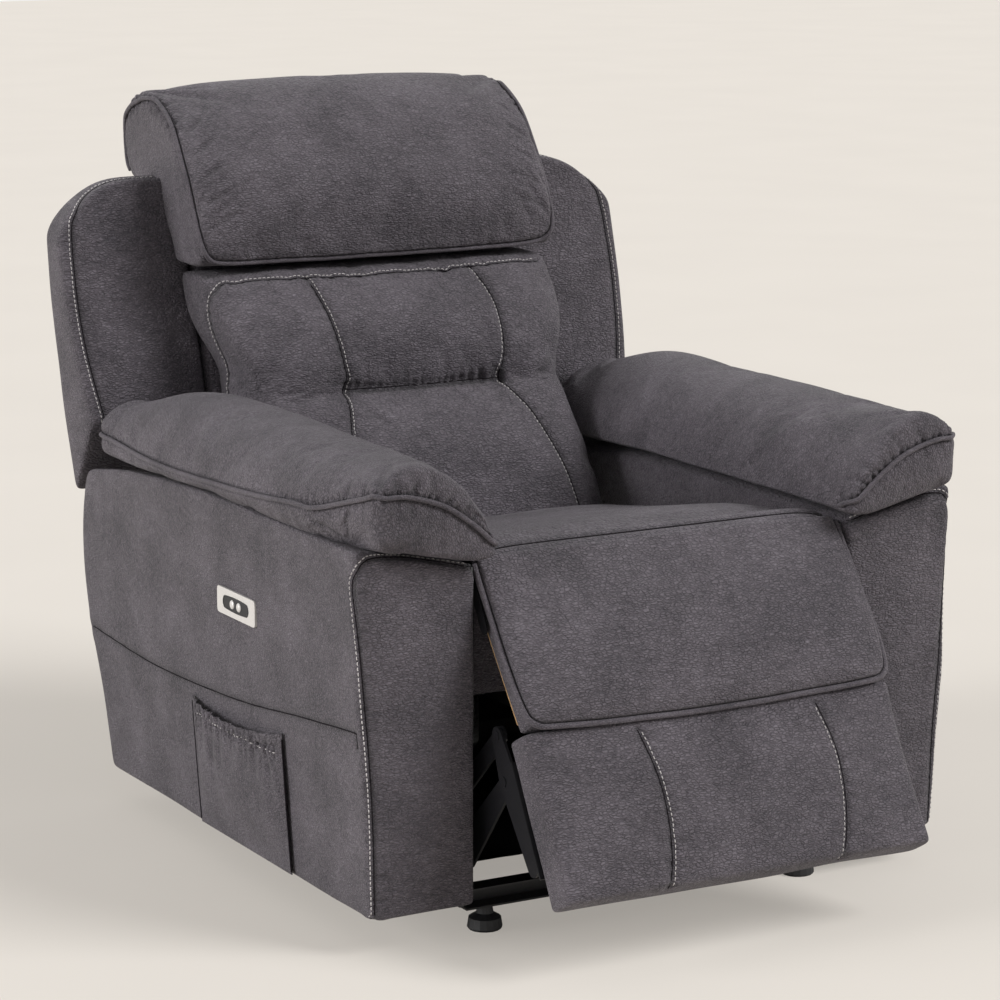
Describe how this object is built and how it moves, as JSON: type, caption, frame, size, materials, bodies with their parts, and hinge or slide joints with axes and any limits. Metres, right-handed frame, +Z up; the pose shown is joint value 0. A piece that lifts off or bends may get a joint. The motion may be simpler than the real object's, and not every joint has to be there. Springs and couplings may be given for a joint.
{
  "type": "recliner armchair",
  "caption": "Power recliner armchair with pillow arms, bolster headrest, lumbar cushion, winged back, side pocket and a folding two-part footrest.",
  "frame": {"origin": "middle of the bounding box's base: on the floor, half way across the width and half way from footrest front to headrest rear, at the rest pose (back upright, footrest a little open)", "axes": "+Z up; the chair faces -Y; +X is the viewer's right when looking at its front (the sitter's left), the side pocket and the switch are on -X"},
  "size_m": [0.9544, 1.3263, 1.0588],
  "materials": {
    "upholstery": "dark warm-grey leather-look microfibre over foam, matt with a fine pebble grain",
    "timber": "plain plywood and sawn softwood, unfinished",
    "black_steel": "black stoved enamel on pressed steel",
    "zinc_steel": "bright zinc-plated steel",
    "spring_steel": "oiled drawn spring steel",
    "black_plastic": "black moulded polyamide",
    "switch_metal": "satin silver"
  },
  "bodies": {
    "base": {"actuator_track": "zinc_steel", "arm_frame_left": "timber", "arm_frame_right": "timber", "arm_left": "upholstery", "arm_pad_left": "upholstery", "arm_pad_right": "upholstery", "arm_right": "upholstery", "floor_glide_front_left": "black_plastic", "floor_glide_front_right": "black_plastic", "floor_glide_rear_left": "black_plastic", "floor_glide_rear_right": "black_plastic", "front_rail": "black_steel", "gearbox": "black_plastic", "lead_screw": "spring_steel", "motor": "zinc_steel", "rear_cross_tube": "black_steel", "rear_dust_shield": "black_plastic", "rear_rail": "black_steel", "seat_cushion": "upholstery", "seat_front_rail": "timber", "seat_rear_rail": "timber", "seat_side_rail_left": "timber", "seat_side_rail_right": "timber", "seat_spring_unit": "spring_steel", "side_plate_left": "black_steel", "side_plate_right": "black_steel", "side_pocket": "upholstery", "switch_housing": "black_plastic", "switch_plate": "switch_metal"},
    "lift_links": {"lift_link_left": "black_steel", "lift_link_right": "black_steel", "drive_tube": "black_steel"},
    "control_links": {"control_link_left": "black_steel", "control_link_right": "black_steel"},
    "carrier_links": {"carrier_link_left": "black_steel", "carrier_link_right": "black_steel"},
    "guide_links": {"guide_link_left": "black_steel", "guide_link_right": "black_steel"},
    "footrest": {"footrest_pad": "upholstery", "footrest_board": "timber", "footrest_bracket_left": "black_steel", "footrest_bracket_right": "black_steel"},
    "flap": {"flap_pad": "upholstery", "flap_board": "timber", "flap_hinge_left": "black_steel", "flap_hinge_right": "black_steel"},
    "carriage": {"drive_carriage": "black_plastic"},
    "backrest": {"headrest": "upholstery", "lumbar_cushion": "upholstery", "back_upholstery": "upholstery", "back_frame": "timber", "wing_left": "upholstery", "wing_right": "upholstery", "back_bracket_left": "black_steel", "back_bracket_right": "black_steel"},
    "bellcranks": {"recline_torque_tube": "black_steel"},
    "recline_links": {"recline_link_left": "black_steel", "recline_link_right": "black_steel"},
    "button_open": {"button_open": "switch_metal"},
    "button_close": {"button_close": "switch_metal"}
  },
  "joints": [
    {"name": "footrest_fold", "type": "hinge", "parent": "base", "child": "lift_links", "pos_m": [0, -0.2539, 0.34], "axis": [-1, 0, 0], "range_deg": [-25.08, 52.25]},
    {"name": "control_link_pivot", "type": "hinge", "parent": "base", "child": "control_links", "pos_m": [0, -0.3089, 0.36], "axis": [-1, 0, 0], "range_deg": [-25.68, 52.85]},
    {"name": "carrier_link_pivot", "type": "hinge", "parent": "lift_links", "child": "carrier_links", "pos_m": [0, -0.34179, 0.08155], "axis": [-1, 0, 0], "range_deg": [-56.85, 27.6]},
    {"name": "guide_link_pivot", "type": "hinge", "parent": "lift_links", "child": "guide_links", "pos_m": [0, -0.32247, 0.13835], "axis": [-1, 0, 0], "range_deg": [-56.85, 27.6]},
    {"name": "footrest_pivot", "type": "hinge", "parent": "carrier_links", "child": "footrest", "pos_m": [0, -0.50179, 0.23355], "axis": [-1, 0, 0], "range_deg": [-27.96, 57.6]},
    {"name": "flap_hinge", "type": "hinge", "parent": "base", "child": "flap", "pos_m": [0, -0.4139, 0.492], "axis": [-1, 0, 0], "range_deg": [-24.6, 50.6]},
    {"name": "carriage_slide", "type": "slide", "parent": "base", "child": "carriage", "axis": [0, -1, 0], "range_m": [-0.02562, 0.05251]},
    {"name": "recline", "type": "hinge", "parent": "base", "child": "backrest", "pos_m": [0, 0.2001, 0.345], "axis": [-1, 0, 0], "range_deg": [0, 40]},
    {"name": "bellcrank_pivot", "type": "hinge", "parent": "base", "child": "bellcranks", "pos_m": [0, 0.0001, 0.34], "axis": [-1, 0, 0], "range_deg": [-0.6, 40.6]},
    {"name": "recline_link_pivot", "type": "hinge", "parent": "backrest", "child": "recline_links", "pos_m": [0, 0.1801, 0.265], "axis": [-1, 0, 0], "range_deg": [-40.6, 0.6]},
    {"name": "button_open_press", "type": "slide", "parent": "base", "child": "button_open", "axis": [1, 0, 0], "range_m": [0, 0.0012], "stiffness_N_per_m": 800},
    {"name": "button_close_press", "type": "slide", "parent": "base", "child": "button_close", "axis": [1, 0, 0], "range_m": [0, 0.0012], "stiffness_N_per_m": 800}
  ],
  "couplings": [
    {"joint": "control_link_pivot", "follows": "footrest_fold", "ratio": 1},
    {"joint": "carrier_link_pivot", "follows": "footrest_fold", "ratio": -1.0766},
    {"joint": "guide_link_pivot", "follows": "footrest_fold", "ratio": -1.0766},
    {"joint": "footrest_pivot", "follows": "footrest_fold", "ratio": 1.0909},
    {"joint": "flap_hinge", "follows": "footrest_fold", "ratio": 0.95694},
    {"joint": "carriage_slide", "follows": "footrest_fold", "m_per_rad": 0.0567},
    {"joint": "bellcrank_pivot", "follows": "recline", "ratio": 1},
    {"joint": "recline_link_pivot", "follows": "recline", "ratio": -1}
  ]
}
